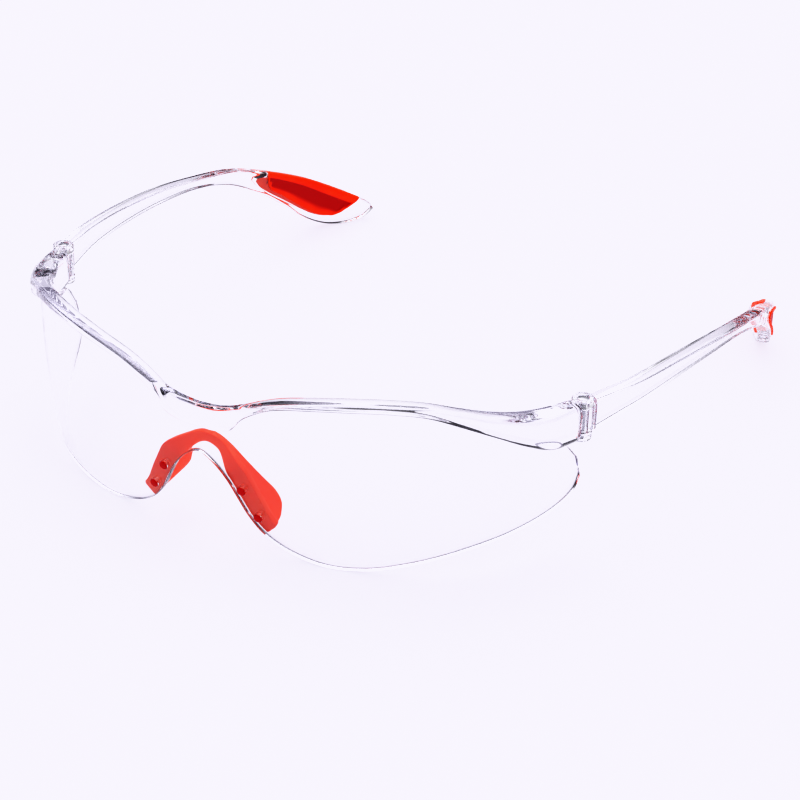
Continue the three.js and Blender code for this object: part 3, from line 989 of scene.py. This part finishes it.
FLOOR_HALF = 6.0
FLOOR_HEIGHT = -0.0002
CAMERA_PLACE = Vector((0.24092071, -0.33945017, 0.26282211))
CAMERA_RIGHT = Vector((0.86183, 0.50638, 0.02869))
CAMERA_UP = Vector((-0.26472, 0.40085, 0.87707))
FOCAL_LENGTH = 102.327
SENSOR = 36.0
BOUNCES = 28
# The tone curve: linear light in, linear light out, and the white that it ends at.
TONES = ((0.12, 0.035), (0.3, 0.2), (0.6, 0.64), (0.85, 0.95))
PAPER_WHITE = (0.945, 0.925, 0.99)


def studio_floor():
    half = FLOOR_HALF
    corners = [(-half, -half, 0), (half, -half, 0), (half, half, 0), (-half, half, 0)]
    mesh = bpy.data.meshes.new("studio_floor")
    mesh.from_pydata(corners, [], [(0, 1, 2, 3)])
    floor = bpy.data.objects.new("studio_floor", mesh)
    bpy.context.scene.collection.objects.link(floor)
    floor.location.z = FLOOR_HEIGHT
    mesh.materials.append(floor_paint())


def sky():
    """A bright dome that darkens towards the horizon, as round a table in a white studio."""
    world = bpy.data.worlds.new("studio")
    bpy.context.scene.world = world
    world.use_nodes = True
    nodes, links = world.node_tree.nodes, world.node_tree.links
    place = nodes.new("ShaderNodeTexCoord")
    split = nodes.new("ShaderNodeSeparateXYZ")
    links.new(place.outputs["Generated"], split.inputs["Vector"])
    height = ramp(nodes, links, split.outputs["Z"], 0.0, 1.0, 0.2, 0.7)
    mix = nodes.new("ShaderNodeMix")
    mix.data_type = "RGBA"
    mix.inputs["A"].default_value = (0.03, 0.028, 0.035, 1)
    mix.inputs["B"].default_value = (1.0, 1.0, 1.0, 1)
    links.new(height, mix.inputs["Factor"])
    background = nodes["Background"]
    links.new(mix.outputs["Result"], background.inputs["Color"])
    background.inputs["Strength"].default_value = 1.3


def sun(direction, strength, spread_degrees):
    data = bpy.data.lights.new("key", "SUN")
    data.energy = strength
    data.angle = math.radians(spread_degrees)
    lamp = bpy.data.objects.new("key", data)
    lamp.rotation_euler = Vector(direction).to_track_quat("-Z", "Y").to_euler()
    bpy.context.scene.collection.objects.link(lamp)


def camera():
    data = bpy.data.cameras.new("camera")
    data.sensor_width = SENSOR
    data.lens = FOCAL_LENGTH
    data.clip_start = 0.01
    eye = bpy.data.objects.new("camera", data)
    back = CAMERA_RIGHT.cross(CAMERA_UP)
    turn = Matrix((CAMERA_RIGHT, CAMERA_UP, back)).transposed()
    eye.matrix_world = Matrix.Translation(CAMERA_PLACE + SHIFT) @ turn.to_4x4()
    bpy.context.scene.collection.objects.link(eye)
    bpy.context.scene.camera = eye


def tone_curve(settings):
    settings.use_curve_mapping = True
    curves = settings.curve_mapping
    curves.extend = "HORIZONTAL"
    for curve, white in zip(curves.curves, PAPER_WHITE):
        curve.points[-1].location = (1.0, white)
        for light, tone in TONES:
            curve.points.new(light, tone * white)
    curves.update()


def studio():
    camera()
    studio_floor()
    sky()
    sun((0.35, -0.45, -1.0), 0.6, 40)
    scene = bpy.context.scene
    scene.view_settings.view_transform = "Standard"
    tone_curve(scene.view_settings)
    # Light crosses the clear parts lengthwise by many inner reflections before it leaves them.
    scene.cycles.max_bounces = BOUNCES
    scene.cycles.transmission_bounces = BOUNCES
    scene.cycles.glossy_bounces = BOUNCES


studio()
glasses()
